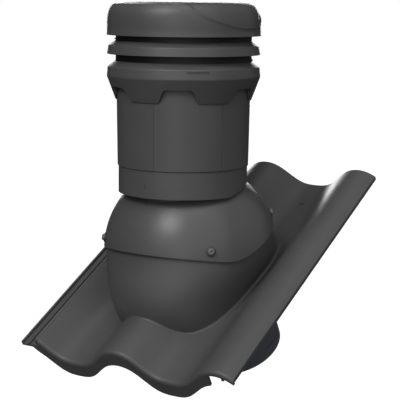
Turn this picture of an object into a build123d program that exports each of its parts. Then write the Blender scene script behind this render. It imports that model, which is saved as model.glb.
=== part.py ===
"""Roof tile vent: a moulded wave tile whose bowl carries a domed cover, a double-walled vent pipe
and a louvred cowl, with a duct spigot under the tile. Millimetres, +Z up, the vent pipe upright."""
import os
from math import atan2, cos, pi, radians, sin, sqrt, tan

from build123d import *

# Roof and frame: the tile lies at the roof's pitch, and the vent axis crosses the wave's mid plane
roof_pitch = 28.9
duct_mouth_depth = 169.4
duct_up_slope = 65.2

# Tile: S is measured across the slope from the vent axis, T up the slope, N square to the roof
wave_pitch = 150.0
wave_height = 18.3
wave_second = 1.2
wave_third = -1.06
wave_margin = 5.0
wave_steps = 16
tile_wall = 3.0
nose_t = -165.5
head_t = 257.3
wave_left = -131.0
tile_right = 175.2
skirt_end = 140.0
skirt_depth = 23.1
skirt_wall = 3.5
flap_skirt_depth = 7.0
nose_radius = 5.0
flap_lip_width = 2.6
flap_lip_depth = 5.0
flap_rib_inset = 15.5
flap_rib_width = 3.0
flap_rib_depth = 9.0
flap_rib_setback = 1.0
edge_tolerance = 0.01
channel_width = 26.2
channel_floor_n = 1.8
channel_wall = 3.0
channel_lip_width = 3.0
channel_lip_n = 5.0
channel_rib_from_lip = 11.0
channel_rib_width = 3.0
channel_rib_n = 4.6
skirt_tip_width = 10.0
batten_nib_width = 34.0
batten_nib_thickness = 9.0
batten_nib_depth = 20.0
batten_nib_from_head = 34.0
nib_gusset_thickness = 4.0
nib_gusset_run = 16.0
nail_mark_s = 75.0
nail_mark_t = 212.4
nail_mark_radius = 3.2
nail_mark_height = 1.6

# Dome cover: a ball shell over the bowl, cut along a bent rim, with a neck round the pipe
dome_up_slope = 20.6
dome_height = 42.4
dome_radius = 117.2
dome_wall = 2.6
rim_front_slope = -8.0
rim_rear_slope = 20.0
rim_corner_y = -52.0
rim_corner_height = 0.9
rim_blend_radius = 70.0
neck_radius = 69.0
neck_wall = 2.5
neck_top = 186.0
neck_ledge_width = 4.5
neck_ledge_height = 6.0
dome_nub_azimuth = -67.3
dome_nub_elevation = 37.1
dome_nub_radius = 1.6
dome_nub_height = 0.9
dome_notch_azimuth = -94.2
dome_notch_elevation = 37.4
dome_notch_width = 1.0
dome_notch_length = 4.5
dome_notch_depth = 0.6

# Bowl: three rings on a ball just inside the cover, then an oval floor under the tile
bowl_wall = 3.0
bowl_lip_overlap = 21.0
bowl_lip_proud = 0.5
bowl_seal_gap = 1.0
rim_gap = 0.9
lip_plane_slope = 12.7
lip_plane_lift = 46.0
rim_plane_slope = 17.0
rim_plane_lift = 26.0
waist_plane_slope = 17.9
waist_plane_lift = 18.0
waist_front_bulge = 3.3
waist_side_tuck = 0.9
floor_n = -24.0
floor_front = 160.4
floor_rear = 98.7
floor_middle_t = 73.3
floor_half_width = 90.7
floor_squareness = 0.62
floor_wall = 3.0
bowl_foot_radius = 2.5
bowl_foot_tolerance = 0.1
oval_points = 24

# Duct spigot under the tile, dropped in from above, with a seal under its flange
duct_radius = 66.3
duct_wall = 3.0
duct_clearance = 0.5
duct_socket_wall = 3.0
duct_socket_depth = 16.0
duct_flange_width = 8.0
duct_flange_thickness = 3.0
duct_seal_thickness = 2.0
duct_slot_height = 2.0
duct_slot_above_mouth = 15.0
duct_slot_span = 36.5
duct_slot_count = 2
duct_slot_angle = 3.0
duct_bead_height = 4.0
duct_bead_proud = 1.2
duct_bead_gap = 0.4

# Pipe and collar
pipe_radius = 62.5
pipe_wall = 2.5
pipe_bottom = 16.0
pipe_below_core_top = 18.0
seal_slack = 0.1
seal_above_rim = 4.0
seal_strip_height = 14.0
seal_height = 6.0
seal_lip = 2.0
tube_foot = 158.6
tube_foot_radius = 86.55
tube_top = 284.0
tube_top_radius = 88.3
tube_wall = 2.5
tube_foot_chamfer = 1.0
tube_line_count = 6
tube_line_angle = -81.0
tube_line_width = 0.9
tube_line_depth = 0.5
collar_radius = 85.2
collar_wall = 3.0
collar_foot = 123.4
collar_dome_clearance = 4.7
collar_spigot_height = 17.0
collar_spigot_clearance = 0.2
collar_web_thickness = 3.0
collar_sleeve_clearance = 0.3
collar_sleeve_wall = 2.6
collar_sleeve_height = 17.0
index_mark_width = 1.6
index_mark_height = 5.5
index_mark_depth = 0.8
index_mark_above_foot = 14.9
foam_clearance = 0.2

# Cowl: castellated skirt, louvre core, louvre ring and cap, stacked upwards from the tube's top
core_radius = 89.1
core_wall = 3.0
core_above_cap_foot = 7.0
core_spigot_clearance = 0.2
core_spigot_length = 16.0
core_window_count = 24
core_window_span = 11.0
window_margin = 1.0
core_arm_count = 3
core_arm_thickness = 3.0
core_arm_height = 14.0
core_arm_above_tube = 16.0
core_ring_clearance = 0.3
core_ring_wall = 2.4
core_ledge_height = 2.0
lug_pair_count = 3
lug_pair_half_angle = 4.2
lug_upper_angle = -30.0
lug_lower_angle = -90.0
lug_width = 2.5
lug_height = 1.8
lug_proud = 1.4
lug_clearance = 0.1
cowl_wall = 2.4
hub_clearance = 0.2
hub_wall = 2.2
skirt_hub_height = 12.4
skirt_shoulder_drop = 7.8
skirt_shoulder_radius = 99.6
skirt_band_drop = 20.3
skirt_band_radius = 100.8
skirt_height = 50.8
skirt_foot_radius = 89.4
skirt_foot_wall = 1.3
arch_count = 6
arch_height = 17.3
arch_foot_width = 50.4
arch_top_width = 37.0
arch_corner_radius = 6.0
latch_slot_length = 27.6
latch_slot_height = 2.2
latch_slot_drop = 11.4
latch_slot_angle = -45.2
lower_gap = 8.2
ring_height = 18.0
ring_radius = 100.4
ring_shoulder_drop = 6.9
ring_shoulder_radius = 98.5
ring_hub_height = 7.6
upper_gap = 6.4
cap_radius = 100.9
cap_side_height = 6.0
cap_side_top_radius = 100.4
cap_height = 43.8
cap_flat_radius = 68.0
cap_band_fullness = 3.5
cap_crown_fullness = 2.9
cap_round_steps = 8
cap_wall = 2.5
cap_rib_count = 6
cap_rib_thickness = 2.0
cap_rib_inner = 74.0
cap_tongue_root = 22.0
cap_tongue_width = 4.0
cap_tongue_depth = 12.0
sweep_low_height = 10.0
sweep_tilt = 29.2
sweep_step = 0.9

# Screws and washers
screw_front_azimuth = -43.5
screw_front_elevation = 8.6
screw_rear_azimuth = 34.8
screw_rear_elevation = 24.8
screw_shank_radius = 2.1
screw_clearance = 0.1
screw_head_round = 1.2
screw_length = 14.0
screw_head_radius = 4.3
screw_head_height = 3.0
screw_drive_radius = 1.5
screw_drive_depth = 1.6
washer_radius = 6.4
washer_thickness = 1.6
spot_face_depth = 0.2

# Values that follow from those above
slope = radians(roof_pitch)
roof = Plane(origin=(0, 0, 0), x_dir=(1, 0, 0), z_dir=(0, -sin(slope), cos(slope)))
duct_mouth_n = -duct_mouth_depth
duct_mouth = roof.from_local_coords(Vector(0, duct_up_slope, duct_mouth_n))
dome_centre = Vector(0, dome_up_slope, dome_height)
bowl_radius = dome_radius - dome_wall - bowl_seal_gap
channel_left = wave_left - channel_width
collar_spigot_top = tube_foot + collar_spigot_height
collar_web_foot = collar_spigot_top - collar_web_thickness
skirt_shoulder_top = tube_top + skirt_hub_height
skirt_foot = skirt_shoulder_top - skirt_height
ring_foot = skirt_shoulder_top + lower_gap
ring_top = ring_foot + ring_height
ring_hub_foot = ring_top - ring_hub_height
cap_foot = ring_top + upper_gap
cap_top = cap_foot + cap_height
core_top = cap_foot + core_above_cap_foot
pipe_top = core_top - pipe_below_core_top
core_inner = core_radius - core_wall


def save(shape, name):
    """Writes one piece, moved so that the middle of the duct's mouth is the origin."""
    export_step(Pos(-duct_mouth.X, -duct_mouth.Y, -duct_mouth.Z) * shape, f"parts/{name}.step")


def ring_solid(points):
    """A closed outline of (radius, height) points turned about the vent axis."""
    outline = make_face(Polyline(*[(r, 0, z) for r, z in points], close=True))
    return revolve(outline, Axis.Z)


def tube_solid(outer, wall, foot, top):
    return ring_solid([(outer - wall, foot), (outer, foot), (outer, top), (outer - wall, top)])


def sector(span, azimuth, reach, foot, top):
    """A wedge of the given span about an azimuth, as a cutter from the axis outwards."""
    half_width = reach * tan(radians(span / 2))
    wedge = make_face(Polyline((0, 0, 0), (reach, -half_width, 0), (reach, half_width, 0), close=True))
    return Rot(0, 0, azimuth) * Pos(0, 0, foot) * extrude(wedge, top - foot)


# Tile wave: a rolled top line with slightly rounder crests than troughs
def wave(s):
    w = 2 * pi * s / wave_pitch
    return wave_height * cos(w) + wave_second * cos(2 * w) + wave_third * cos(3 * w)


def wave_grade(s):
    w = 2 * pi * s / wave_pitch
    k = 2 * pi / wave_pitch
    return -k * (wave_height * sin(w) + 2 * wave_second * sin(2 * w) + 3 * wave_third * sin(3 * w))


def wave_line(start, end, inward=0.0, lower=0.0):
    """The wave as a curve, moved square to itself by inward and straight down by lower."""
    steps = max(3, round(abs(end - start) / wave_pitch * wave_steps))
    points = []
    for i in range(steps + 1):
        s = start + (end - start) * i / steps
        lean = atan2(wave_grade(s), 1)
        points.append((s + inward * sin(lean), 0, wave(s) - inward * cos(lean) - lower))
    return Spline(*points)


def wave_band(start, end, inward=0.0, lower=0.0, top_lower=0.0):
    """The face between the wave's top line, or a line below it, and one moved down or inwards."""
    top = wave_line(start, end, lower=top_lower)
    under = wave_line(start, end, inward, lower)
    return make_face([top, Line(top @ 1, under @ 1), under, Line(under @ 0, top @ 0)])


def up_slope(face, start, length):
    """Runs a face drawn across the slope along T."""
    return extrude(Pos(0, start, 0) * face, length, dir=(0, 1, 0))


def block(s_low, s_high, t_low, t_high, n_low, n_high):
    return Pos(s_low, t_low, n_low) * Box(
        s_high - s_low, t_high - t_low, n_high - n_low, align=(Align.MIN, Align.MIN, Align.MIN)
    )


def tile_sheet():
    """The wave sheet with its nose skirt, side channel, cover flap, nibs and nail mark."""
    length = head_t - nose_t
    start, end = wave_left - wave_margin, tile_right + wave_margin
    sheet = up_slope(wave_band(start, end, inward=tile_wall), nose_t, length)
    sheet += up_slope(wave_band(start, end, lower=skirt_depth, top_lower=tile_wall / 2), nose_t, skirt_wall)
    sheet &= block(wave_left, tile_right, nose_t, head_t, -2 * wave_pitch, 2 * wave_pitch)
    nose_edges = sheet.edges().filter_by_position(Axis.Y, nose_t - edge_tolerance, nose_t + edge_tolerance)
    crown = nose_edges.filter_by(lambda e: abs((e @ 0.3).Z - wave((e @ 0.3).X)) < tile_wall / 4)
    sheet = fillet(crown, nose_radius)
    flap_gap = wave_band(skirt_end, end, lower=2 * skirt_depth, top_lower=flap_skirt_depth)
    sheet -= up_slope(flap_gap, nose_t, skirt_wall)

    lip_s = tile_right - flap_lip_width
    sheet += block(lip_s, tile_right, nose_t + skirt_wall, head_t,
                   wave(tile_right) - flap_lip_depth, wave(tile_right) - tile_wall / 2)
    rib_s = tile_right - flap_rib_inset
    sheet += block(rib_s - flap_rib_width / 2, rib_s + flap_rib_width / 2, nose_t + flap_rib_setback, head_t,
                   wave(rib_s) - tile_wall - flap_rib_depth, wave(rib_s) - tile_wall / 2)

    sheet += block(channel_left, wave_left + channel_wall, nose_t, head_t,
                   channel_floor_n - channel_wall, channel_floor_n)
    sheet += block(channel_left, channel_left + channel_lip_width, nose_t, head_t,
                   channel_floor_n - channel_wall, channel_lip_n)
    channel_rib = channel_left + channel_rib_from_lip
    sheet += block(channel_rib, channel_rib + channel_rib_width, nose_t, head_t,
                   channel_floor_n - channel_wall, channel_rib_n)
    sheet += block(wave_left, wave_left + channel_wall, nose_t, head_t,
                   channel_floor_n - channel_wall, wave(wave_left) - tile_wall / 2)
    tip_n = channel_floor_n - channel_wall / 2
    skirt_tip = make_face(Polyline(
        (wave_left - skirt_tip_width, 0, tip_n), (wave_left + channel_wall, 0, tip_n),
        (wave_left + channel_wall, 0, wave(wave_left) - skirt_depth),
        (wave_left, 0, wave(wave_left) - skirt_depth), close=True))
    sheet += up_slope(skirt_tip, nose_t, skirt_wall)

    nib_t = head_t - batten_nib_from_head
    gusset = make_face(Polyline((0, 0, 0), (0, nib_gusset_run, 0), (0, 0, -batten_nib_depth), close=True))
    for trough in (-wave_pitch / 2, wave_pitch / 2):
        under = wave(trough) - tile_wall / 2
        sheet += block(trough - batten_nib_width / 2, trough + batten_nib_width / 2,
                       nib_t, nib_t + batten_nib_thickness, under - batten_nib_depth, under)
        for side in (-1, 1):
            middle = trough + side * (batten_nib_width / 2 - nib_gusset_thickness)
            sheet += Pos(middle, nib_t + batten_nib_thickness, under) * extrude(
                gusset, nib_gusset_thickness / 2, both=True, dir=(1, 0, 0))
    mark_base = wave(nail_mark_s) - tile_wall / 2
    sheet += Pos(nail_mark_s, nail_mark_t, mark_base) * Cylinder(
        nail_mark_radius, nail_mark_height + tile_wall / 2, align=(Align.CENTER, Align.CENTER, Align.MIN))
    return sheet


def oval(plane, middle, front, rear, half_width, squareness, inset=0.0):
    """A closed oval on a plane: its front and rear halves have their own lengths."""
    points = []
    for i in range(oval_points):
        turn = 2 * pi * i / oval_points
        across, along = sin(turn), cos(turn)
        across = (half_width - inset) * abs(across) ** squareness * (1 if across > 0 else -1)
        reach = front if along > 0 else rear
        along = middle - (reach - inset) * abs(along) ** squareness * (1 if along > 0 else -1)
        points.append(plane.from_local_coords(Vector(across, along, 0)))
    return make_face(Spline(*points, periodic=True))


def lifted_plane(slope_angle, lift):
    """A plane over the dome's centre that rises up the slope by slope_angle."""
    lean = radians(slope_angle)
    normal = Vector(0, -sin(lean), cos(lean))
    return Plane(origin=dome_centre + normal * lift, x_dir=(1, 0, 0), z_dir=normal)


def ball_ring(slope_angle, lift, inset, front_bulge=0.0, side_tuck=0.0):
    """The bowl's section on a lifted plane: a circle on its ball, drawn out in front and tucked in beside."""
    reach = sqrt((bowl_radius - bowl_lip_proud) ** 2 - lift ** 2)
    return oval(lifted_plane(slope_angle, lift), 0, reach + front_bulge, reach, reach - side_tuck, 1, inset)


def floor_oval(inset):
    return oval(roof.offset(floor_n), floor_middle_t, floor_front, floor_rear,
                floor_half_width, floor_squareness, inset)


def bowl_body(inset):
    """The bowl's outside, or its inside when inset by the wall."""
    lip = ball_ring(lip_plane_slope, lip_plane_lift, inset)
    rim = ball_ring(rim_plane_slope, rim_plane_lift, inset)
    waist = ball_ring(waist_plane_slope, waist_plane_lift, inset, waist_front_bulge, waist_side_tuck)
    return Solid.make_loft([lip.wire(), rim.wire(), waist.wire(), floor_oval(inset).wire()])


def rim_profile(lift, up):
    """The side view of the bent rim, as a face that covers all above it or all below it."""
    reach = 2 * dome_radius
    corner_y = dome_centre.Y + rim_corner_y
    corner_z = dome_centre.Z + rim_corner_height + lift
    front = (0, corner_y - reach, corner_z - reach * tan(radians(rim_front_slope)))
    rear = (0, corner_y + reach, corner_z + reach * tan(radians(rim_rear_slope)))
    bend = FilletPolyline(front, (0, corner_y, corner_z), rear, radius=rim_blend_radius)
    far = corner_z + (reach if up else -reach) * 2
    side = Polyline(bend @ 1, (0, rear[1], far), (0, front[1], far), bend @ 0)
    return make_face([bend, side])


def rim_cutter(lift, up):
    return extrude(rim_profile(lift, up), 2 * dome_radius, both=True, dir=(1, 0, 0))


def ball(radius):
    return Pos(dome_centre.X, dome_centre.Y, dome_centre.Z) * Sphere(radius)


def dome_plane(azimuth, elevation, radius):
    """A plane square to the dome, with its normal outwards and its first axis level."""
    a, e = radians(azimuth), radians(elevation)
    out = Vector(cos(a) * cos(e), sin(a) * cos(e), sin(e))
    return Plane(origin=dome_centre + out * radius, x_dir=(-sin(a), cos(a), 0), z_dir=out)


def screw_planes():
    """Planes on the dome's spot faces, a pair in front and a pair behind."""
    planes = []
    for azimuth, elevation in ((screw_front_azimuth, screw_front_elevation),
                               (screw_rear_azimuth, screw_rear_elevation)):
        for turned in (azimuth, 180 - azimuth):
            planes.append(dome_plane(turned, elevation, dome_radius - spot_face_depth))
    return planes


def bowl_foot_edges(plate):
    """The edges along which the bowl's wall rises from the top of the wave sheet."""
    picked = []
    for edge in plate.edges():
        spots = [roof.to_local_coords(edge @ part) for part in (0.1, 0.5, 0.9)]
        beside = all(wave_left + channel_wall < p.X < skirt_end for p in spots)
        between = all(nose_t + 2 * nose_radius < p.Y < nail_mark_t - 2 * nail_mark_radius for p in spots)
        if beside and between and all(abs(p.Z - wave(p.X)) < bowl_foot_tolerance for p in spots):
            picked.append(edge)
    return picked


def tile_plate():
    """The one-piece moulding: wave sheet, bowl, floor and the socket for the duct."""
    outside = bowl_body(0)
    inside = bowl_body(bowl_wall)
    lip = ball(bowl_radius) & rim_cutter(bowl_lip_overlap, up=False) & rim_cutter(-rim_gap, up=True)
    wall = (outside & rim_cutter(-rim_gap, up=False)) + lip
    sheet = roof.location * tile_sheet()
    plate = sheet - inside + (wall - inside)
    plate = fillet(bowl_foot_edges(plate), bowl_foot_radius)
    plate += extrude(floor_oval(0), floor_wall, dir=-roof.z_dir)
    bore = duct_radius + duct_clearance
    socket_top = roof.offset(floor_n).location * Pos(0, duct_up_slope, 0)
    plate += socket_top * Cylinder(bore + duct_socket_wall, floor_wall + duct_socket_depth,
                                   align=(Align.CENTER, Align.CENTER, Align.MAX))
    plate -= socket_top * Pos(0, 0, floor_wall) * Cylinder(
        bore, 3 * floor_wall + duct_socket_depth, align=(Align.CENTER, Align.CENTER, Align.MAX))
    for plane in screw_planes():
        plate -= plane.location * Cylinder(screw_shank_radius, 2 * screw_length)
    return plate


def dome_cover():
    shell = ball(dome_radius) & rim_cutter(0, up=True)
    neck_foot = dome_centre.Z
    shell += Pos(0, 0, neck_foot) * Cylinder(neck_radius, neck_top - neck_foot,
                                             align=(Align.CENTER, Align.CENTER, Align.MIN))
    shell += tube_solid(neck_radius + neck_ledge_width, neck_ledge_width + neck_wall / 2,
                        collar_web_foot - neck_ledge_height, collar_web_foot)
    shell -= ball(dome_radius - dome_wall)
    shell -= Cylinder(neck_radius - neck_wall, 4 * dome_radius)
    for plane in screw_planes():
        shell -= plane.location * Cylinder(washer_radius + 2 * spot_face_depth, dome_wall,
                                           align=(Align.CENTER, Align.CENTER, Align.MIN))
        shell -= plane.location * Cylinder(screw_shank_radius, 2 * screw_length)
    nub = dome_plane(dome_nub_azimuth, dome_nub_elevation, dome_radius)
    shell += nub.location * Cylinder(dome_nub_radius, 2 * dome_nub_height)
    notch = dome_plane(dome_notch_azimuth, dome_notch_elevation, dome_radius)
    shell -= notch.location * Box(dome_notch_width, dome_notch_length, 2 * dome_notch_depth)
    return shell


def dome_seal():
    """The foam strip between the bowl's lip and the cover, a little above the rim."""
    strip = ball(dome_radius - dome_wall) - ball(bowl_radius)
    strip &= rim_cutter(seal_above_rim, up=True)
    strip &= rim_cutter(seal_above_rim + seal_strip_height, up=False)
    for plane in screw_planes():
        strip -= plane.location * Cylinder(screw_shank_radius, 2 * screw_length)
    return strip


def dome_screws():
    screws = []
    for plane in screw_planes():
        seat = plane.location * Pos(0, 0, washer_thickness)
        screw = seat * Cylinder(screw_shank_radius - screw_clearance, screw_length,
                                align=(Align.CENTER, Align.CENTER, Align.MAX))
        head = seat * Cylinder(screw_head_radius, screw_head_height,
                               align=(Align.CENTER, Align.CENTER, Align.MIN))
        head = fillet(head.edges().sort_by_distance(seat.position)[-1], screw_head_round)
        screw += head
        screw -= seat * Pos(0, 0, screw_head_height) * extrude(
            RegularPolygon(screw_drive_radius, 6), -screw_drive_depth)
        screws.append(screw)
    return Compound(screws)


def dome_washers():
    washers = []
    for plane in screw_planes():
        washer = plane.location * Cylinder(washer_radius, washer_thickness,
                                           align=(Align.CENTER, Align.CENTER, Align.MIN))
        washers.append(washer - plane.location * Cylinder(screw_shank_radius, 4 * washer_thickness))
    return Compound(washers)


def duct_spigot():
    """The duct stub under the tile: a flanged tube square to the roof, with slots above its mouth."""
    foot = roof.location * Pos(0, duct_up_slope, duct_mouth_n)
    flange_foot = floor_n + duct_seal_thickness - duct_mouth_n
    tube = Cylinder(duct_radius, flange_foot + duct_flange_thickness,
                    align=(Align.CENTER, Align.CENTER, Align.MIN))
    tube += Pos(0, 0, flange_foot) * Cylinder(duct_radius + duct_flange_width, duct_flange_thickness,
                                              align=(Align.CENTER, Align.CENTER, Align.MIN))
    bead_top = floor_n - floor_wall - duct_socket_depth - duct_bead_gap - duct_mouth_n
    tube += Pos(0, 0, bead_top) * Cylinder(duct_radius + duct_bead_proud, duct_bead_height,
                                           align=(Align.CENTER, Align.CENTER, Align.MAX))
    tube -= Cylinder(duct_radius - duct_wall, 4 * duct_mouth_depth)
    for i in range(duct_slot_count):
        azimuth = duct_slot_angle + 360 / duct_slot_count * i
        tube -= sector(duct_slot_span, azimuth, 2 * duct_radius,
                       duct_slot_above_mouth, duct_slot_above_mouth + duct_slot_height)
    return foot * tube


def duct_seal():
    seat = roof.location * Pos(0, duct_up_slope, floor_n)
    band = Cylinder(duct_radius + duct_flange_width, duct_seal_thickness,
                    align=(Align.CENTER, Align.CENTER, Align.MIN))
    return seat * (band - Cylinder(duct_radius + duct_clearance, 4 * duct_seal_thickness))


def inner_pipe():
    return tube_solid(pipe_radius, pipe_wall, pipe_bottom, pipe_top)


def pipe_seal():
    """The lipped ring that sits on the neck and grips the pipe."""
    inner = pipe_radius
    return ring_solid([
        (inner, neck_top + seal_height), (inner, neck_top - seal_lip),
        (neck_radius - neck_wall - seal_slack, neck_top - seal_lip),
        (neck_radius - neck_wall - seal_slack, neck_top), (neck_radius, neck_top),
        (neck_radius, neck_top + seal_lip), (inner + seal_lip, neck_top + seal_height),
    ])


def tube_outer(z):
    """The vent tube's outside radius at a height: it widens steadily upwards."""
    return tube_foot_radius + (tube_top_radius - tube_foot_radius) * (z - tube_foot) / (tube_top - tube_foot)


def neck_collar():
    """The collar over the neck: a skirt that clears the dome, a spigot for the tube and a sleeve."""
    spigot_outer = tube_foot_radius - tube_wall - collar_spigot_clearance
    spigot_inner = spigot_outer - collar_wall
    sleeve_inner = neck_radius + collar_sleeve_clearance
    sleeve_outer = sleeve_inner + collar_sleeve_wall
    collar = ring_solid([
        (collar_radius, collar_foot), (collar_radius, tube_foot), (spigot_outer, tube_foot),
        (spigot_outer, collar_spigot_top), (sleeve_outer, collar_spigot_top),
        (sleeve_outer, collar_spigot_top + collar_sleeve_height),
        (sleeve_inner, collar_spigot_top + collar_sleeve_height), (sleeve_inner, collar_web_foot),
        (spigot_inner, collar_web_foot), (spigot_inner, tube_foot - collar_wall),
        (collar_radius - collar_wall, tube_foot - 2 * collar_wall),
        (collar_radius - collar_wall, collar_foot),
    ])
    collar -= ball(dome_radius + collar_dome_clearance)
    mark_z = collar_foot + index_mark_above_foot
    collar -= Pos(0, -collar_radius, mark_z) * Box(index_mark_width, 2 * index_mark_depth, index_mark_height)
    return collar


def vent_tube():
    """The outer tube, with six fine upright lines in its skin."""
    top_inner = tube_outer(tube_top) - tube_wall
    foot_inner = tube_outer(tube_foot) - tube_wall
    tube = ring_solid([
        (foot_inner, tube_foot), (tube_foot_radius - tube_foot_chamfer, tube_foot),
        (tube_foot_radius, tube_foot + tube_foot_chamfer), (tube_top_radius, tube_top), (top_inner, tube_top),
    ])
    skin = ring_solid([
        (tube_foot_radius - tube_line_depth, tube_foot), (tube_foot_radius + tube_line_depth, tube_foot),
        (tube_top_radius + tube_line_depth, tube_top), (tube_top_radius - tube_line_depth, tube_top),
    ])
    upright = Pos(tube_foot_radius, 0, tube_foot) * Box(
        tube_foot_radius, tube_line_width, tube_top - tube_foot,
        align=(Align.CENTER, Align.CENTER, Align.MIN))
    for i in range(tube_line_count):
        tube -= Rot(0, 0, tube_line_angle + 360 / tube_line_count * i) * (upright & skin)
    return tube


def foam_sleeve():
    """The rigid foam that fills the space between the pipe and the tube."""
    foot = collar_spigot_top + collar_sleeve_height
    top = tube_top - core_spigot_length
    inner = pipe_radius + foam_clearance
    return ring_solid([
        (inner, foot), (tube_outer(foot) - tube_wall - foam_clearance, foot),
        (tube_outer(top) - tube_wall - foam_clearance, top), (inner, top),
    ])


def snap_lugs(foot, first_angle):
    """Pairs of small lugs on the core's skin, just above the louvre that they hold down."""
    root = core_wall / 2
    lug = Pos(core_radius - root, 0, foot + lug_clearance) * Box(
        root + lug_proud, lug_width, lug_height, align=(Align.MIN, Align.CENTER, Align.MIN))
    lugs = []
    for i in range(lug_pair_count):
        for side in (-1, 1):
            lugs.append(Rot(0, 0, first_angle + 360 / lug_pair_count * i + side * lug_pair_half_angle) * lug)
    return lugs


def louvre_core():
    """The ring on top of the tube, with windows behind the louvre and three arms that centre the pipe."""
    spigot_outer = tube_outer(tube_top - core_spigot_length) - tube_wall - core_spigot_clearance
    spigot_foot = tube_top - core_spigot_length
    core = ring_solid([
        (core_inner, core_top), (core_radius, core_top), (core_radius, tube_top), (spigot_outer, tube_top),
        (spigot_outer, spigot_foot), (spigot_outer - core_wall, spigot_foot),
        (core_inner - core_wall, tube_top), (core_inner, tube_top + core_wall),
    ])
    for ledge_top in (tube_top + core_ledge_height, ring_hub_foot):
        core += tube_solid(core_radius + hub_wall, hub_wall + core_wall / 2,
                           ledge_top - core_ledge_height, ledge_top)
    window_step = 360 / core_window_count
    for i in range(core_window_count):
        core -= sector(core_window_span, window_step * i, 2 * core_radius,
                       ring_foot + window_margin, ring_hub_foot - core_ledge_height - window_margin)
    for lug in snap_lugs(ring_top, lug_upper_angle) + snap_lugs(skirt_shoulder_top, lug_lower_angle):
        core += lug
    sleeve_inner = pipe_radius + core_ring_clearance
    sleeve_outer = sleeve_inner + core_ring_wall
    arm_foot = tube_top + core_arm_above_tube
    core += tube_solid(sleeve_outer, core_ring_wall, arm_foot, arm_foot + core_arm_height)
    arm_start = sleeve_inner + core_ring_wall / 2
    arm = Pos(arm_start, 0, arm_foot) * Box(
        core_inner + core_wall / 2 - arm_start, core_arm_thickness, core_arm_height,
        align=(Align.MIN, Align.CENTER, Align.MIN))
    for i in range(core_arm_count):
        core += Rot(0, 0, window_step / 2 + 360 / core_arm_count * i) * arm
    return core


def arch_cutter():
    """A cutter through the skirt's skin at azimuth 0: an upright trapezium with round upper corners."""
    top_half = arch_top_width / 2
    low_half = arch_foot_width - top_half
    outline = make_face(Polyline(
        (-low_half, -arch_height), (low_half, -arch_height),
        (top_half, arch_height), (-top_half, arch_height), close=True))
    outline = fillet(outline.vertices().group_by(Axis.Y)[-1], arch_corner_radius)
    face = Plane(origin=(0, 0, skirt_foot), x_dir=(0, 1, 0), z_dir=(1, 0, 0)) * outline
    return extrude(face, 2 * skirt_band_radius)


def cowl_skirt():
    """The collar under the louvres: a hollow band whose lower edge is cut into arches."""
    inner = core_radius + hub_clearance
    band_foot = skirt_shoulder_top - skirt_band_drop
    shoulder_foot = skirt_shoulder_top - skirt_shoulder_drop
    hub_foot = tube_top + core_ledge_height
    skin = ring_solid([
        (inner, skirt_shoulder_top), (skirt_shoulder_radius, shoulder_foot),
        (skirt_band_radius, band_foot), (skirt_foot_radius, skirt_foot),
        (skirt_foot_radius - skirt_foot_wall, skirt_foot), (skirt_band_radius - cowl_wall, band_foot),
        (skirt_shoulder_radius - cowl_wall, shoulder_foot - cowl_wall / 2),
        (inner + hub_wall, skirt_shoulder_top - 2 * cowl_wall), (inner + hub_wall, hub_foot),
        (inner, hub_foot),
    ])
    for i in range(arch_count):
        skin -= Rot(0, 0, 360 / arch_count * i) * arch_cutter()
    slot_z = skirt_shoulder_top - latch_slot_drop
    for azimuth in (latch_slot_angle, 180 - latch_slot_angle, latch_slot_angle + 180, -latch_slot_angle):
        skin -= Rot(0, 0, azimuth) * Pos(skirt_band_radius, 0, slot_z) * Box(
            4 * cowl_wall, latch_slot_length, latch_slot_height)
    return skin


def louvre_ring():
    inner = core_radius + hub_clearance
    shoulder = ring_top - ring_shoulder_drop
    return ring_solid([
        (inner, ring_top), (ring_shoulder_radius, shoulder), (ring_radius, ring_foot),
        (ring_radius - cowl_wall, ring_foot), (ring_shoulder_radius - cowl_wall, shoulder - cowl_wall / 2),
        (inner + hub_wall, ring_top - 2 * cowl_wall), (inner + hub_wall, ring_hub_foot),
        (inner, ring_hub_foot),
    ])


def cap_skin(proud, fullness, foot):
    """The cap's solid outside, moved out by proud: an upright side that rolls over into a flat top.
    The greater the fullness, the tighter the shoulder."""
    side_top = cap_foot + cap_side_height
    rolled = []
    for i in range(cap_round_steps + 1):
        turn = pi / 2 * i / cap_round_steps
        across = max(cos(turn), 0) ** (2 / fullness)
        up = sin(turn) ** (2 / fullness)
        rolled.append((cap_flat_radius + (cap_side_top_radius + proud - cap_flat_radius) * across, 0,
                       side_top + (cap_top + proud - side_top) * up))
    shoulder = Spline(*rolled, tangents=((0, 0, 1), (-1, 0, 0)))
    outline = Polyline(shoulder @ 1, (0, 0, cap_top + proud), (0, 0, foot), (cap_radius + proud, 0, foot),
                       shoulder @ 0)
    return revolve(make_face([shoulder, outline]), Axis.Z)


def below_sweep():
    """All that lies under a tilted plane, whose low side is on the right of the roof."""
    lowest = Pos(cap_radius, 0, cap_foot + sweep_low_height) * Rot(0, sweep_tilt, 0)
    return lowest * Box(6 * cap_radius, 4 * cap_radius, 4 * cap_radius,
                        align=(Align.CENTER, Align.CENTER, Align.MAX))


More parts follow.
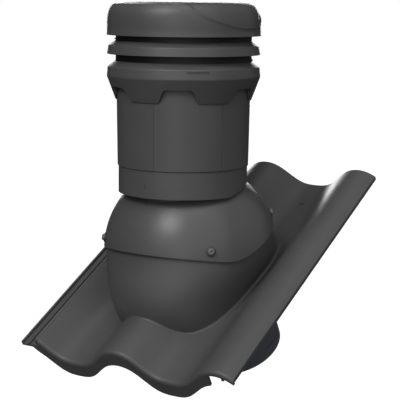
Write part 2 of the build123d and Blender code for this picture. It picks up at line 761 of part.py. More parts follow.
def cap():
    """The rain cap: a round crown in a band whose top edge sweeps down on one side, with ribs that sit
    on the core."""
    band = cap_skin(0, cap_band_fullness, cap_foot) & below_sweep()
    skin = cap_skin(-sweep_step, cap_crown_fullness, cap_foot) + band
    body = skin - cap_skin(-sweep_step - cap_wall, cap_crown_fullness, cap_foot - cap_wall)
    tongue_outer = core_inner - hub_clearance
    rib = Pos(cap_rib_inner, 0, core_top) * Box(
        cap_radius - cap_rib_inner, cap_rib_thickness, cap_top - core_top,
        align=(Align.MIN, Align.CENTER, Align.MIN))
    rib &= cap_skin(-sweep_step - cap_wall / 2, cap_crown_fullness, cap_foot)
    rib += Pos(tongue_outer, 0, core_top + cap_tongue_root) * Box(
        cap_tongue_width, cap_rib_thickness, cap_tongue_root + cap_tongue_depth,
        align=(Align.MAX, Align.CENTER, Align.MAX))
    for i in range(cap_rib_count):
        body += Rot(0, 0, 360 / cap_rib_count * (i + 0.5)) * rib
    return body


os.makedirs("parts", exist_ok=True)
save(tile_plate(), "tile_plate")
save(dome_cover(), "dome_cover")
save(dome_seal(), "dome_seal")
save(dome_screws(), "dome_screws")
save(dome_washers(), "dome_washers")
save(duct_spigot(), "duct_spigot")
save(duct_seal(), "duct_seal")
save(inner_pipe(), "inner_pipe")
save(pipe_seal(), "pipe_seal")
save(neck_collar(), "neck_collar")
save(vent_tube(), "vent_tube")
save(foam_sleeve(), "foam_sleeve")
save(louvre_core(), "louvre_core")
save(cowl_skirt(), "cowl_skirt")
save(louvre_ring(), "louvre_ring")
save(cap(), "cap")
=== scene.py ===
# Looks of the roof tile vent: anthracite moulded plastic, built up in the order in which the
# real vent is put together, from the tile upwards. Metres, +Z up, the vent pipe upright.
import math

import bmesh
import bpy
from mathutils import Matrix, Vector


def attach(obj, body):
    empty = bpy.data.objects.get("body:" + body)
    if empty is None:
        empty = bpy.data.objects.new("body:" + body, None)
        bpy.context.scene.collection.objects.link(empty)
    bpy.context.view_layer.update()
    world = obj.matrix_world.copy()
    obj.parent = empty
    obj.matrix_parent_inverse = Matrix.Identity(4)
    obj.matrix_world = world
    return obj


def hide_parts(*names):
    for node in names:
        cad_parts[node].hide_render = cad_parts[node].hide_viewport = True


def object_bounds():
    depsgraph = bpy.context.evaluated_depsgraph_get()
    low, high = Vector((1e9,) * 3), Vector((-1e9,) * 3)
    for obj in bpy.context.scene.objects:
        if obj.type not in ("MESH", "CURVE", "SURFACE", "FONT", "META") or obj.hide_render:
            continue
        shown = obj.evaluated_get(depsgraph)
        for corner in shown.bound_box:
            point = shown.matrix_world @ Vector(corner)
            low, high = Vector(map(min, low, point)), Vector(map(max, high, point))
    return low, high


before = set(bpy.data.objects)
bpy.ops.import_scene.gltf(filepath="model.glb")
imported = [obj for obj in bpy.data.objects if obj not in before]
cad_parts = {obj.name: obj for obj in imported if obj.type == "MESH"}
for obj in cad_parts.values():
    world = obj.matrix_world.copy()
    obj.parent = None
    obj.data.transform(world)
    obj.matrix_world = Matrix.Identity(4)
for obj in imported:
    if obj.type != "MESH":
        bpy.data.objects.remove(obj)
cad_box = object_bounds()
MM = 0.001

# Photograph's view. The camera stands nine degrees above level, to the right of the line that
# runs straight up the roof, with a long lens, so that the upright pipe shows hardly any taper.
CAMERA_PLACE = Vector((955.4, -1540.2, 495.9)) * MM
CAMERA_YAW = 33.504
CAMERA_PITCH = 8.987
CAMERA_ROLL = -0.570
CAMERA_LENS = 115.9

yaw = math.radians(CAMERA_YAW)
pitch = math.radians(CAMERA_PITCH)
roll = math.radians(CAMERA_ROLL)
level = Vector((-math.sin(yaw), math.cos(yaw), 0))
ahead = level * math.cos(pitch) - Vector((0, 0, math.sin(pitch)))
sideways = Vector((math.cos(yaw), math.sin(yaw), 0))
downwards = ahead.cross(sideways)
right = sideways * math.cos(roll) + downwards * math.sin(roll)
down = downwards * math.cos(roll) - sideways * math.sin(roll)
camera_data = bpy.data.cameras.new("camera")
camera_data.lens = CAMERA_LENS
camera_data.sensor_width = 36.0
camera_data.clip_end = 100.0
camera = bpy.data.objects.new("camera", camera_data)
turned_to_view = Matrix((right, -down, -ahead)).transposed().to_4x4()
camera.matrix_world = Matrix.Translation(CAMERA_PLACE) @ turned_to_view
bpy.context.scene.collection.objects.link(camera)
bpy.context.scene.camera = camera
bpy.context.scene.view_settings.view_transform = "Standard"

# Tile. One injection moulding of polypropylene with the wave, the bowl and the duct's socket.
# It comes out of a spark-eroded tool in anthracite, so it is a dark grey with a fine grain that
# spreads each highlight, and the tone and gloss drift a little from place to place.
GRAIN_SIZE = 0.8 * MM
GRAIN_STRENGTH = 0.35
CLOUD_SIZE = 45.0 * MM
CLOUD_RANGE = (0.3, 0.7)
TONE_DRIFT = 0.06
GLOSS_DRIFT = (-0.04, 0.05)
EDGE_SOFTNESS = 0.7 * MM
PLASTIC_IOR = 1.49


def rgb(sheen):
    """An sRGB hex value as the linear colour that a node takes."""
    parts = [int(sheen[i:i + 2], 16) / 255 for i in (1, 3, 5)]
    return [p / 12.92 if p <= 0.04045 else ((p + 0.055) / 1.055) ** 2.4 for p in parts] + [1.0]


def node(tree, kind, links=(), **values):
    """Adds one node; values set its inputs or its own settings, links are (input, output) pairs."""
    added = tree.nodes.new(kind)
    for key, value in values.items():
        if hasattr(added, key):
            setattr(added, key, value)
        else:
            added.inputs[key.replace("_", " ")].default_value = value
    for slot, source in links:
        tree.links.new(added.inputs[slot], source)
    return added


def moulded_plastic(name, colour, roughness, grain_depth):
    """A moulded or extruded plastic: grain in its skin, soft edges, slow drift in tone and gloss."""
    made = bpy.data.materials.new(name)
    made.use_nodes = True
    tree = made.node_tree
    tree.nodes.clear()
    place = node(tree, "ShaderNodeNewGeometry").outputs["Position"]
    grain = node(tree, "ShaderNodeTexNoise", [("Vector", place)],
                 Scale=1 / GRAIN_SIZE, Detail=3.0, Roughness=0.6)
    cloud = node(tree, "ShaderNodeTexNoise", [("Vector", place)],
                 Scale=1 / CLOUD_SIZE, Detail=2.0, Roughness=0.5)
    edges = node(tree, "ShaderNodeBevel", samples=4, Radius=EDGE_SOFTNESS)
    bump = node(tree, "ShaderNodeBump", [
        ("Height", grain.outputs["Fac"]), ("Normal", edges.outputs["Normal"])],
                Strength=GRAIN_STRENGTH, Distance=grain_depth)
    gloss = node(tree, "ShaderNodeMapRange", [("Value", cloud.outputs["Fac"])],
                 From_Min=CLOUD_RANGE[0], From_Max=CLOUD_RANGE[1],
                 To_Min=roughness + GLOSS_DRIFT[0], To_Max=roughness + GLOSS_DRIFT[1])
    tint = node(tree, "ShaderNodeValToRGB", [("Fac", cloud.outputs["Fac"])])
    shade = rgb(colour)
    tint.color_ramp.elements[0].color = [c * (1 - TONE_DRIFT) for c in shade[:3]] + [1.0]
    tint.color_ramp.elements[1].color = [c * (1 + TONE_DRIFT) for c in shade[:3]] + [1.0]
    surface = node(tree, "ShaderNodeBsdfPrincipled", [
        ("Base Color", tint.outputs["Color"]), ("Roughness", gloss.outputs["Result"]),
        ("Normal", bump.outputs["Normal"])], IOR=PLASTIC_IOR)
    node(tree, "ShaderNodeOutputMaterial", [("Surface", surface.outputs["BSDF"])])
    return made


def finish_node(name, material):
    """Gives a node that stays as it is in the CAD its real finish."""
    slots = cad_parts[name].data.materials
    slots.clear()
    slots.append(material)


tile_skin = moulded_plastic("grained_anthracite_polypropylene", "#505051", 0.46, 0.05 * MM)
finish_node("tile_plate", tile_skin)

# Duct spigot and its seal. The spigot is moulded in a blacker polypropylene with a bluish cast,
# because it is never seen on the roof, and it sits on a flat ring of black rubber.
duct_skin = moulded_plastic("blue_black_polypropylene", "#55575e", 0.5, 0.04 * MM)
finish_node("duct_spigot", duct_skin)
finish_node("duct_seal", moulded_plastic("black_sealing_rubber", "#202020", 0.7, 0.06 * MM))

# Pipe, its lipped ring and the foam round it. The pipe is extruded in light grey, the ring is a
# black rubber like the duct's, and the foam is rigid and cream, with an open, dusty face.
finish_node("inner_pipe", moulded_plastic("grey_extruded_pipe", "#77787a", 0.4, 0.01 * MM))
finish_node("pipe_seal", moulded_plastic("black_lip_rubber", "#202020", 0.65, 0.05 * MM))
finish_node("foam_sleeve", moulded_plastic("cream_rigid_foam", "#d8cdaa", 0.9, 0.3 * MM))

# Dome cover and its seal strip. The cover is moulded like the tile, with a finer grain and a
# little more gloss; the strip is black closed-cell foam, stuck inside the rim.
dome_skin = moulded_plastic("anthracite_cover_polypropylene", "#525253", 0.36, 0.04 * MM)
finish_node("dome_cover", dome_skin)
finish_node("dome_seal", moulded_plastic("black_closed_cell_foam", "#1c1c1c", 0.85, 0.2 * MM))

# Collar and outer tube. Both are moulded in the cowl's anthracite, a little smoother than the
# tile, and the tube has fine upright lines where the parts of its tool meet.
tube_skin = moulded_plastic("anthracite_tube_polypropylene", "#535354", 0.4, 0.03 * MM)
finish_node("neck_collar", tube_skin)
finish_node("vent_tube", tube_skin)

# Louvre core. A slotted ring of near-black polypropylene on the pipe's end, which carries the louvres and
# the cap. It is only seen as the dark wall inside the two gaps; its tone is partly its own and partly
# painted shade there.
core_skin_and_gap_shade = moulded_plastic("near_black_core_and_painted_gap_shade", "#151516", 0.55, 0.04 * MM)
finish_node("louvre_core", core_skin_and_gap_shade)

# Louvre ring. The middle one of the three cowl mouldings, a thin, plain ring of polypropylene
# that snaps over the core. Its tool leaves every corner rounded.
VENT_AXIS = Matrix.Translation((0, -138.95 * MM, 116.78 * MM))
TURN_STEPS = 240
ROUND_STEPS = 4
ROUND_LIMIT = 0.45
SHARP_ANGLE = math.radians(40)
FLAT_FACE_WEIGHT = 80
RING_CORNERS = [
    (89.3, 322.6, 0.6), (98.5, 315.7, 2.4), (100.4, 304.6, 0.5), (98.0, 304.6, 0.4),
    (96.1, 314.5, 1.2), (91.5, 317.8, 0.8), (91.5, 315.0, 0.3), (89.3, 315.0, 0.3)]
cowl_skin = moulded_plastic("anthracite_cowl_polypropylene", "#535354", 0.4, 0.03 * MM)


def rounded(corners):
    """An outline of (radius, height, rounding) corners in mm, with an arc in each rounded one."""
    line = []
    for i, (r, z, rounding) in enumerate(corners):
        here = Vector((r, z))
        if not rounding:
            line.append(here)
            continue
        before = Vector(corners[i - 1][:2]) - here
        after = Vector(corners[(i + 1) % len(corners)][:2]) - here
        half = before.angle(after) / 2
        room = ROUND_LIMIT * min(before.length, after.length)
        reach = min(rounding / math.tan(half), room)
        inwards = (before.normalized() + after.normalized()).normalized()
        middle = here + inwards * reach / math.cos(half)
        start = here + before.normalized() * reach - middle
        end = here + after.normalized() * reach - middle
        span = start.angle(end)
        for k in range(ROUND_STEPS + 1):
            part = k / ROUND_STEPS
            spoke = start * math.sin((1 - part) * span) + end * math.sin(part * span)
            line.append(middle + spoke / math.sin(span))
    return line


def around(r, z, angle):
    """The point in metres at a radius and a height in mm, turned about the vent's axis."""
    return r * math.cos(angle) * MM, r * math.sin(angle) * MM, z * MM


def turned_columns(columns):
    """A closed form from an outline for each azimuth, all with as many points."""
    form = bmesh.new()
    rings = [[form.verts.new(around(p[0], p[1], angle)) for p in line] for angle, line in columns]
    for k, this in enumerate(rings):
        following = rings[(k + 1) % len(rings)]
        for i in range(len(this)):
            form.faces.new((this[i - 1], this[i], following[i], following[i - 1]))
    bmesh.ops.recalc_face_normals(form, faces=form.faces)
    return form


def make_piece(name, form, material, place=VENT_AXIS):
    """Turns a bmesh into an object with the finish, smooth apart from its sharp edges."""
    mesh = bpy.data.meshes.new(name)
    form.to_mesh(mesh)
    form.free()
    mesh.transform(place)
    mesh.materials.append(material)
    mesh.shade_smooth()
    mesh.set_sharp_from_angle(angle=SHARP_ANGLE)
    piece = bpy.data.objects.new(name, mesh)
    bpy.context.scene.collection.objects.link(piece)
    return piece


def even_shading(piece):
    """Lets the large faces rule the shading, so that flats stay flat up to their rounded corners."""
    weighted = piece.modifiers.new("even_shading", "WEIGHTED_NORMAL")
    weighted.keep_sharp = True
    weighted.weight = FLAT_FACE_WEIGHT


ring_outline = rounded(RING_CORNERS)
ring_columns = [(2 * math.pi * k / TURN_STEPS, ring_outline) for k in range(TURN_STEPS)]
ring = make_piece("louvre_ring_moulding", turned_columns(ring_columns), cowl_skin)
even_shading(ring)
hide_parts("louvre_ring")
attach(ring, "root")

# Skirt. The lowest of the three cowl mouldings: a thin band with a sloping shoulder, drawn in
# towards the tube below, whose lower edge is cut into six arches. Webs close it beside and over
# each arch, and four short tongues in its slots hold it on the core.
SKIRT_FOOT = 245.6
SKIRT_BAND_FOOT = (100.8, 276.1)
SKIRT_FOOT_RADIUS = 89.4
SKIRT_FOOT_WALL = 1.3
SKIRT_SHOULDER = [(89.3, 296.4, 0.6), (99.6, 288.6, 2.2)]
SKIRT_INSIDE = [
    (98.4, 276.1, 1.2), (97.2, 287.4, 1.0), (91.5, 291.6, 0.8), (91.5, 286.0, 0.3), (89.3, 286.0, 0.3)]
BAND_FOOT_ROUND = 6.0
SKIRT_EDGE_ROUND = 0.5
COWL_WALL = 2.4
ARCH_COUNT = 6
ARCH_HALF_WIDTHS = (25.2, 18.5)
ARCH_CROWN = SKIRT_FOOT + 17.3
ARCH_ROUND = 6.0
ARCH_FOOT_ROUND = 1.2
ARCH_START = 0.2
TOOTH_REACH = 9.0
TOOTH_STEPS = 5
CLIMB_STEPS = 4
CROWN_STEPS = 5
WEB_RADIUS = 88.7
WEB_THICKNESS = 1.4
PLAIN_EDGE = 0.7
LATCH_ANGLES = (-45.2, 45.2, 134.8, 225.2)
LATCH_RADIUS = 100.0
LATCH_HEIGHT = 285.0
LATCH_LENGTH = 27.6
LATCH_GAP = 2.2
LATCH_STEPS = 12
SLOT_RADII = (95.0, 104.0)
TONGUE_RADII = (91.0, 99.5)
TONGUE_END_PLAY = 0.8
TONGUE_PLAY = 0.2


def skirt_radius(height):
    """The skirt's outer radius at a height on its lower, drawn-in part."""
    part = (height - SKIRT_FOOT) / (SKIRT_BAND_FOOT[1] - SKIRT_FOOT)
    return SKIRT_FOOT_RADIUS + (SKIRT_BAND_FOOT[0] - SKIRT_FOOT_RADIUS) * part


def skirt_inside(height):
    """The skirt's inner radius at a height on its lower part, where the wall thins to the foot."""
    part = (height - SKIRT_FOOT) / (SKIRT_BAND_FOOT[1] - SKIRT_FOOT)
    return skirt_radius(height) - SKIRT_FOOT_WALL - (COWL_WALL - SKIRT_FOOT_WALL) * part


def half_arch_edge():
    """The skirt's lower edge from the middle of a tooth to the middle of an arch, as (azimuth in
    radians, height) points."""
    wide, narrow = ARCH_HALF_WIDTHS
    tooth_middle = math.pi / ARCH_COUNT
    tooth_width = tooth_middle - math.asin(wide / SKIRT_FOOT_RADIUS)
    line = [(tooth_middle - tooth_width * k / TOOTH_STEPS, SKIRT_FOOT) for k in range(TOOTH_STEPS)]
    side = rounded([
        (wide, SKIRT_FOOT, ARCH_FOOT_ROUND), (narrow, ARCH_CROWN, ARCH_ROUND), (0, ARCH_CROWN, 0),
        (wide + TOOTH_REACH, SKIRT_FOOT, 0)])[:-2]
    foot_arc, crown_arc = side[:ROUND_STEPS + 1], side[ROUND_STEPS + 1:]
    climb = [foot_arc[-1].lerp(crown_arc[0], k / CLIMB_STEPS) for k in range(1, CLIMB_STEPS)]
    middle = Vector((0, ARCH_CROWN))
    along = [crown_arc[-1].lerp(middle, k / CROWN_STEPS) for k in range(1, CROWN_STEPS + 1)]
    for p in foot_arc + climb + crown_arc + along:
        line.append((math.asin(min(1, p.x / skirt_radius(p.y))), p.y))
    return line


def skirt_section(foot):
    """The skirt's outline at an azimuth where its lower edge stands at the height foot. Beside and
    over an arch a web turns in from that edge, so that the hollow of the skirt is closed there."""
    if foot > SKIRT_FOOT + ARCH_START:
        web_top = ARCH_CROWN + WEB_THICKNESS
        edge = [(WEB_RADIUS, foot, 0), (WEB_RADIUS, web_top, 0)]
    else:
        web_top = foot + WEB_THICKNESS
        edge = [(skirt_inside(foot), foot, 0), (skirt_inside(foot + PLAIN_EDGE), foot + PLAIN_EDGE, 0)]
    return rounded([
        *SKIRT_SHOULDER, (*SKIRT_BAND_FOOT, BAND_FOOT_ROUND), (skirt_radius(foot), foot, SKIRT_EDGE_ROUND),
        *edge, (skirt_inside(web_top), web_top, 0), *SKIRT_INSIDE])


def arc_block(name, material, radii, length, heights, azimuth):
    """A block that follows a circle about the vent's axis, between two radii and two heights."""
    form = bmesh.new()
    ends = []
    for k in range(LATCH_STEPS + 1):
        angle = azimuth + length / LATCH_RADIUS * (k / LATCH_STEPS - 0.5)
        ends.append([form.verts.new(around(radii[i], heights[j], angle))
                     for i, j in ((0, 0), (1, 0), (1, 1), (0, 1))])
    form.faces.new(ends[0])
    form.faces.new(ends[-1])
    for this, following in zip(ends, ends[1:]):
        for i in range(4):
            j = (i + 1) % 4
            form.faces.new((this[i], this[j], following[j], following[i]))
    bmesh.ops.recalc_face_normals(form, faces=form.faces)
    return make_piece(name, form, material)


def cut_away(piece, cutter):
    """Cuts one mesh out of another and deletes the cutter."""
    cut = piece.modifiers.new("cut", "BOOLEAN")
    cut.operation = "DIFFERENCE"
    cut.solver = "EXACT"
    cut.object = cutter
    bpy.context.view_layer.update()
    dressed = piece.evaluated_get(bpy.context.evaluated_depsgraph_get())
    shaped = bpy.data.meshes.new_from_object(dressed)
    piece.modifiers.remove(cut)
    piece.data = shaped
    bpy.data.objects.remove(cutter)


half_edge = half_arch_edge()
arch_edge = half_edge + [(-a, z) for a, z in reversed(half_edge[:-1])]
columns = []
for k in range(ARCH_COUNT):
    arch_middle = 2 * math.pi * k / ARCH_COUNT
    columns += [(arch_middle - a, skirt_section(z)) for a, z in arch_edge[:-1]]
skirt = make_piece("cowl_skirt_moulding", turned_columns(columns), cowl_skin)
slot_heights = (LATCH_HEIGHT - LATCH_GAP / 2, LATCH_HEIGHT + LATCH_GAP / 2)
tongue_heights = (slot_heights[0] + TONGUE_PLAY, slot_heights[1] - TONGUE_PLAY)
for k, latch_angle in enumerate(LATCH_ANGLES):
    turn = math.radians(latch_angle)
    cut_away(skirt, arc_block("slot", cowl_skin, SLOT_RADII, LATCH_LENGTH, slot_heights, turn))
    tongue = arc_block(f"core_tongue_{k + 1}", cowl_skin, TONGUE_RADII, LATCH_LENGTH - TONGUE_END_PLAY,
                       tongue_heights, turn)
    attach(tongue, "root")
skirt.data.set_sharp_from_angle(angle=SHARP_ANGLE)
even_shading(skirt)
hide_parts("cowl_skirt")
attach(skirt, "root")

# Cap. The top moulding: a round crown inside a band that stands a little proud of it. The band's
# rolled upper edge follows the shoulder round and sweeps down across one side. Six ribs with
# tongues inside it drop onto the core.
CAP_FOOT = (100.9, 329.0)
CAP_SIDE_TOP = (100.4, 335.0)
CAP_FLAT = (68.0, 372.8)
CAP_WALL = 2.5
SIDE_PART = 0.08
SHOULDER_PART = 0.62
SHOULDER_CROWDING = 0.16
BAND_FULLNESS = 3.8
CROWN_FULLNESS = 2.9
SWEEP_LOW = Vector((100.9, 0, 341.7))
SWEEP_TILT = math.radians(31.8)
RIM_HEIGHT = 370.2
RIM_BLEND = 1.4
RIM_FADE = 14.0
RIM_STEP_SHARE = 0.3
SWEEP_STEP = 0.9
SWEEP_ROLL = 1.2
SWEEP_BEAD = 0.65
SWEEP_BEAD_WIDTH = 1.7
BEAD_TOP_FADE = 20.0
BEAD_FOOT_GAP = 4.0
BEAD_FOOT_FADE = 3.0
BULGE_CENTRE = Vector((CAP_FLAT[0] * 0.6, CAP_SIDE_TOP[1]))
CAP_FINE = 240
CAP_ROWS = 100
CAP_COLUMNS = 360
EDGE_CROWDING = 5.0
EDGE_NEAR = 1.6
SHOULDER_ROWS = 14
INNER_SIDE_PARTS = (0.0, 0.04)
INNER_TOP_PARTS = (0.75, 0.9)
RIB_COUNT = 6
RIB_THICKNESS = 2.0
RIB_INNER = 74.0
RIB_FOOT = 336.0
TONGUE_OUTLINE = ((81.9, 324.0), (85.9, 324.0), (85.9, 358.0), (81.9, 358.0))
TONGUE_THICKNESS = 1.96


def cap_line(proud, fullness, part):
    """A point of the cap's outline, from the foot of its side at part 0 to the axis at part 1."""
    if part < SIDE_PART:
        climb = part / SIDE_PART
        return Vector((CAP_FOOT[0] + (CAP_SIDE_TOP[0] - CAP_FOOT[0]) * climb + proud,
                       CAP_FOOT[1] + (CAP_SIDE_TOP[1] - CAP_FOOT[1]) * climb))
    if part < SHOULDER_PART:
        turn = math.pi / 2 * (part - SIDE_PART) / (SHOULDER_PART - SIDE_PART)
        turn -= SHOULDER_CROWDING * math.sin(4 * turn)
        across = max(math.cos(turn), 0) ** (2 / fullness)
        up = max(math.sin(turn), 0) ** (2 / fullness)
        return Vector((CAP_FLAT[0] + (CAP_SIDE_TOP[0] + proud - CAP_FLAT[0]) * across,
                       CAP_SIDE_TOP[1] + (CAP_FLAT[1] + proud - CAP_SIDE_TOP[1]) * up))
    inwards = (part - SHOULDER_PART) / (1 - SHOULDER_PART)
    return Vector((CAP_FLAT[0] * (1 - inwards), CAP_FLAT[1] + proud))


def share(reach, whole):
    """How much of a whole a reach is, held between none and all of it."""
    return min(max(reach / whole, 0), 1)


def above_edge(place, angle):
    """How far above the rolled edge a point of the band is. That edge follows the rim round the
    shoulder, and where the sweep's slope is lower, it follows that."""
    from_low = Vector((place.x * math.cos(angle), 0, place.y)) - SWEEP_LOW
    over_sweep = from_low.x * math.sin(SWEEP_TILT) + from_low.z * math.cos(SWEEP_TILT)
    over_rim = place.y - RIM_HEIGHT
    return (over_sweep + over_rim + math.hypot(over_sweep - over_rim, RIM_BLEND)) / 2


def edge_bead(place, height):
    """How far the bead of the rolled edge swells out: it fades on the flat top and near the foot."""
    fade = share(place.x - CAP_FLAT[0], BEAD_TOP_FADE)
    fade *= share(place.y - CAP_FOOT[1] - BEAD_FOOT_GAP, BEAD_FOOT_FADE)
    return SWEEP_BEAD * math.exp(-((height / SWEEP_BEAD_WIDTH + 1) ** 2)) * fade


def cap_column(angle):
    """The cap's outside at one azimuth. Its points crowd together where the rolled edge crosses it."""
    heights = [above_edge(p, angle) for p in fine_band]
    line = []
    for p, q, height in zip(fine_band, fine_crown, heights):
        outwards = (p - BULGE_CENTRE).normalized()
        part = share(height + SWEEP_ROLL, 2 * SWEEP_ROLL)
        depth = RIM_STEP_SHARE + (1 - RIM_STEP_SHARE) * share(RIM_HEIGHT - p.y, RIM_FADE)
        line.append((p + outwards * edge_bead(p, height)).lerp(q, part * part * (3 - 2 * part) * depth))
    run = [0.0]
    for k in range(CAP_FINE):
        nearness = 1 / (1 + ((heights[k] + heights[k + 1]) / 2 / EDGE_NEAR) ** 2)
        run.append(run[-1] + (line[k + 1] - line[k]).length * (1 + EDGE_CROWDING * nearness))
    points = []
    k = 0
    for row in range(CAP_ROWS + 1):
        target = run[-1] * row / CAP_ROWS
        while k < CAP_FINE - 1 and run[k + 1] < target:
            k += 1
        span = run[k + 1] - run[k]
        points.append(line[k].lerp(line[k + 1], (target - run[k]) / span if span else 0))
    return points


def upright_plate(form, outline, azimuth, thickness):
    """A flat plate that stands along a radius, from an outline of (radius, height) points."""
    faces = []
    for side in (-thickness / 2, thickness / 2):
        faces.append([form.verts.new((
            (p[0] * math.cos(azimuth) - side * math.sin(azimuth)) * MM,
            (p[0] * math.sin(azimuth) + side * math.cos(azimuth)) * MM, p[1] * MM)) for p in outline])
    form.faces.new(faces[0])
    form.faces.new(reversed(faces[1]))
    for i in range(len(outline)):
        form.faces.new((faces[0][i - 1], faces[1][i - 1], faces[1][i], faces[0][i]))


fine_band = [cap_line(0, BAND_FULLNESS, k / CAP_FINE) for k in range(CAP_FINE + 1)]
fine_crown = [cap_line(-SWEEP_STEP, CROWN_FULLNESS, k / CAP_FINE) for k in range(CAP_FINE + 1)]
shoulder_parts = [SIDE_PART + (SHOULDER_PART - SIDE_PART) * k / SHOULDER_ROWS
                  for k in range(SHOULDER_ROWS + 1)]
inner_parts = [*INNER_SIDE_PARTS, *shoulder_parts, *INNER_TOP_PARTS]
inner_line = [cap_line(-SWEEP_STEP - CAP_WALL, CROWN_FULLNESS, part) for part in inner_parts]
cap_form = bmesh.new()
outer_rings, inner_rings = [], []
for k in range(CAP_COLUMNS):
    angle = 2 * math.pi * k / CAP_COLUMNS
    outer_rings.append([cap_form.verts.new(around(p.x, p.y, angle)) for p in cap_column(angle)[:-1]])
    inner_rings.append([cap_form.verts.new(around(p.x, p.y, angle)) for p in inner_line])
outer_top = cap_form.verts.new((0, 0, CAP_FLAT[1] * MM))
inner_top = cap_form.verts.new((0, 0, inner_line[-1].y * MM))
for k in range(CAP_COLUMNS):
    this, following = outer_rings[k], outer_rings[(k + 1) % CAP_COLUMNS]
    within, next_within = inner_rings[k], inner_rings[(k + 1) % CAP_COLUMNS]
    for i in range(1, len(this)):
        cap_form.faces.new((this[i - 1], following[i - 1], following[i], this[i]))
    cap_form.faces.new((this[-1], following[-1], outer_top))
    for i in range(1, len(within)):
        cap_form.faces.new((within[i - 1], within[i], next_within[i], next_within[i - 1]))
    cap_form.faces.new((within[-1], inner_top, next_within[-1]))
    cap_form.faces.new((this[0], within[0], next_within[0], following[0]))
rib_edge = [cap_line(-SWEEP_STEP - CAP_WALL / 2, CROWN_FULLNESS, part) for part in shoulder_parts]
rib_edge = [p for p in rib_edge if p.y > RIB_FOOT and p.x > RIB_INNER]
rib_outline = [(rib_edge[0].x, RIB_FOOT), *rib_edge, (RIB_INNER, rib_edge[-1].y), (RIB_INNER, RIB_FOOT)]
for k in range(RIB_COUNT):
    rib_turn = 2 * math.pi * (k + 0.5) / RIB_COUNT
    upright_plate(cap_form, rib_outline, rib_turn, RIB_THICKNESS)
    upright_plate(cap_form, TONGUE_OUTLINE, rib_turn, TONGUE_THICKNESS)
bmesh.ops.recalc_face_normals(cap_form, faces=cap_form.faces)
cap = make_piece("rain_cap_moulding", cap_form, cowl_skin)
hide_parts("cap")
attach(cap, "root")

# Screws. Coated steel with a round-edged head and a six-cornered drive, each pressed down on a
# bonded rubber washer that bulges a little past the head. They stand square to the dome.
DOME_CENTRE = Vector((0, 20.6, 42.4))
DOME_RADIUS = 117.2
SCREW_TURNS = ((-43.5, 8.6), (34.8, 24.8), (145.2, 24.8), (223.5, 8.6))
SCREW_STEPS = 48
DRIVE_SIDES = 6
WASHER_OUTLINE = [
    (0, 0, 0), (6.1, 0, 0), (6.4, 0.4, 0), (6.4, 1.0, 0), (6.1, 1.4, 0), (5.6, 1.6, 0), (0, 1.6, 0)]
SCREW_OUTLINE = [
    (0, -12.4, 0), (1.2, -11.4, 0), (2.0, -9.0, 0), (2.0, 1.6, 0), (4.3, 1.6, 0), (4.3, 3.4, 0),
    (4.2, 3.9, 0), (3.8, 4.3, 0), (3.2, 4.55, 0), (2.4, 4.6, 0), (1.9, 4.6, 1), (1.8, 4.4, 1),
    (1.8, 3.0, 1), (0, 2.6, 0)]
screw_steel = moulded_plastic("dark_coated_steel", "#6a6a6c", 0.35, 0.01 * MM)
washer_rubber = moulded_plastic("grey_washer_rubber", "#444445", 0.55, 0.03 * MM)


def round_form(outline):
    """A form turned about its own axis from (radius, height, cornered) points that start and end
    on that axis. A cornered point goes round the flat sides of the drive."""
    form = bmesh.new()
    first, last = (form.verts.new((0, 0, outline[i][1] * MM)) for i in (0, -1))
    half_side = math.pi / DRIVE_SIDES
    rings = []
    for k in range(SCREW_STEPS):
        angle = 2 * math.pi * k / SCREW_STEPS
        within = (angle + half_side) % (2 * half_side) - half_side
        flat = math.cos(half_side) / math.cos(within)
        rings.append([form.verts.new(around(r * flat if cornered else r, z, angle))
                      for r, z, cornered in outline[1:-1]])
    for k, this in enumerate(rings):
        following = rings[(k + 1) % SCREW_STEPS]
        form.faces.new((first, following[0], this[0]))
        for i in range(1, len(this)):
            form.faces.new((this[i - 1], following[i - 1], following[i], this[i]))
        form.faces.new((this[-1], following[-1], last))
    bmesh.ops.recalc_face_normals(form, faces=form.faces)
    return form


for k, (screw_turn, screw_rise) in enumerate(SCREW_TURNS):
    turn, rise = math.radians(screw_turn), math.radians(screw_rise)
    outwards = Vector((math.cos(turn) * math.cos(rise), math.sin(turn) * math.cos(rise), math.sin(rise)))
    seat = VENT_AXIS @ Matrix.Translation((DOME_CENTRE + outwards * DOME_RADIUS) * MM)
    seat = seat @ outwards.to_track_quat("Z", "Y").to_matrix().to_4x4()
    washer = make_piece(f"washer_{k + 1}", round_form(WASHER_OUTLINE), washer_rubber, seat)
    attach(washer, "root")
    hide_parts("dome_washers")
    screw = make_piece(f"screw_{k + 1}", round_form(SCREW_OUTLINE), screw_steel, seat)
    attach(screw, "root")
    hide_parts("dome_screws")

# Studio. The part hangs, as on a roof, far above a plain pale floor. Soft lamps stand round it:
# a wide one in front, a smaller key lamp to its upper left, weak ones low in front, overhead and
# to the right, and one low behind it. Turns are in degrees to the right of the camera.
FLOOR_DROP = 1500.0 * MM
FLOOR_REACH = 30.0
FLOOR_GLOW = 0.4
LAMPS = {
    "key": {"turn": -36.0, "rise": 40.0, "size": 22.0, "strength": 1.08},
    "front": {"turn": 0.0, "rise": 30.0, "size": 100.0, "strength": 1.5},
    "low": {"turn": -12.0, "rise": -4.0, "size": 30.0, "strength": 0.28},
    "top": {"turn": 0.0, "rise": 80.0, "size": 60.0, "strength": 0.48},
    "rim": {"turn": 100.0, "rise": 20.0, "size": 60.0, "strength": 0.22},
    "back": {"turn": 180.0, "rise": 5.0, "size": 30.0, "strength": 1.8},
}
FILL_STRENGTH = 0.04

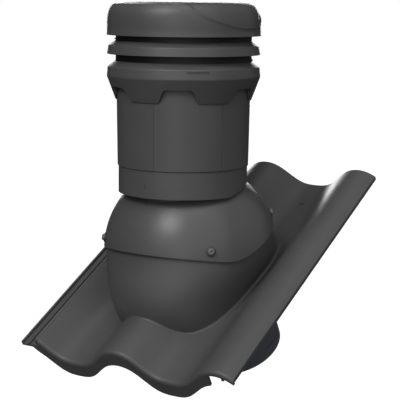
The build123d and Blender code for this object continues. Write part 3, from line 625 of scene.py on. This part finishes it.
floor_level = cad_box[0].z - FLOOR_DROP
floor_corners = [(-FLOOR_REACH, -FLOOR_REACH), (FLOOR_REACH, -FLOOR_REACH), (FLOOR_REACH, FLOOR_REACH),
                 (-FLOOR_REACH, FLOOR_REACH)]
floor_mesh = bpy.data.meshes.new("floor")
floor_mesh.from_pydata([(x, y, floor_level) for x, y in floor_corners], [], [(0, 1, 2, 3)])
floor = bpy.data.objects.new("floor", floor_mesh)
bpy.context.scene.collection.objects.link(floor)
paint = bpy.data.materials.new("pale_floor_paint")
paint.use_nodes = True
tree = paint.node_tree
tree.nodes.clear()
rays = node(tree, "ShaderNodeLightPath")
pale = node(tree, "ShaderNodeBsdfDiffuse", Color=rgb("#f4f4f4"))
dark = node(tree, "ShaderNodeBsdfDiffuse", Color=rgb("#404040"))
glow = node(tree, "ShaderNodeEmission", Strength=FLOOR_GLOW)
lit = node(tree, "ShaderNodeAddShader", [(0, pale.outputs["BSDF"]), (1, glow.outputs["Emission"])])
seen = node(tree, "ShaderNodeMixShader", [
    ("Fac", rays.outputs["Is Camera Ray"]), (1, dark.outputs["BSDF"]), (2, lit.outputs["Shader"])])
node(tree, "ShaderNodeOutputMaterial", [("Surface", seen.outputs["Shader"])])
floor.data.materials.append(paint)

for lamp_name, lamp in LAMPS.items():
    lamp_data = bpy.data.lights.new(lamp_name, "SUN")
    lamp_data.energy = lamp["strength"]
    lamp_data.angle = math.radians(lamp["size"])
    lamp_object = bpy.data.objects.new(lamp_name, lamp_data)
    turn = yaw + math.radians(lamp["turn"])
    rise = math.radians(lamp["rise"])
    towards_lamp = Vector((
        math.sin(turn) * math.cos(rise), -math.cos(turn) * math.cos(rise), math.sin(rise)))
    lamp_object.rotation_euler = towards_lamp.to_track_quat("Z", "Y").to_euler()
    bpy.context.scene.collection.objects.link(lamp_object)

world = bpy.data.worlds.new("studio")
world.use_nodes = True
bpy.context.scene.world = world
tree = world.node_tree
tree.nodes.clear()
rays = node(tree, "ShaderNodeLightPath")
fill = node(tree, "ShaderNodeMapRange", [("Value", rays.outputs["Is Camera Ray"])],
            To_Min=FILL_STRENGTH, To_Max=1.0)
sky = node(tree, "ShaderNodeBackground", [("Strength", fill.outputs["Result"])], Color=rgb("#ffffff"))
node(tree, "ShaderNodeOutputWorld", [("Surface", sky.outputs["Background"])])
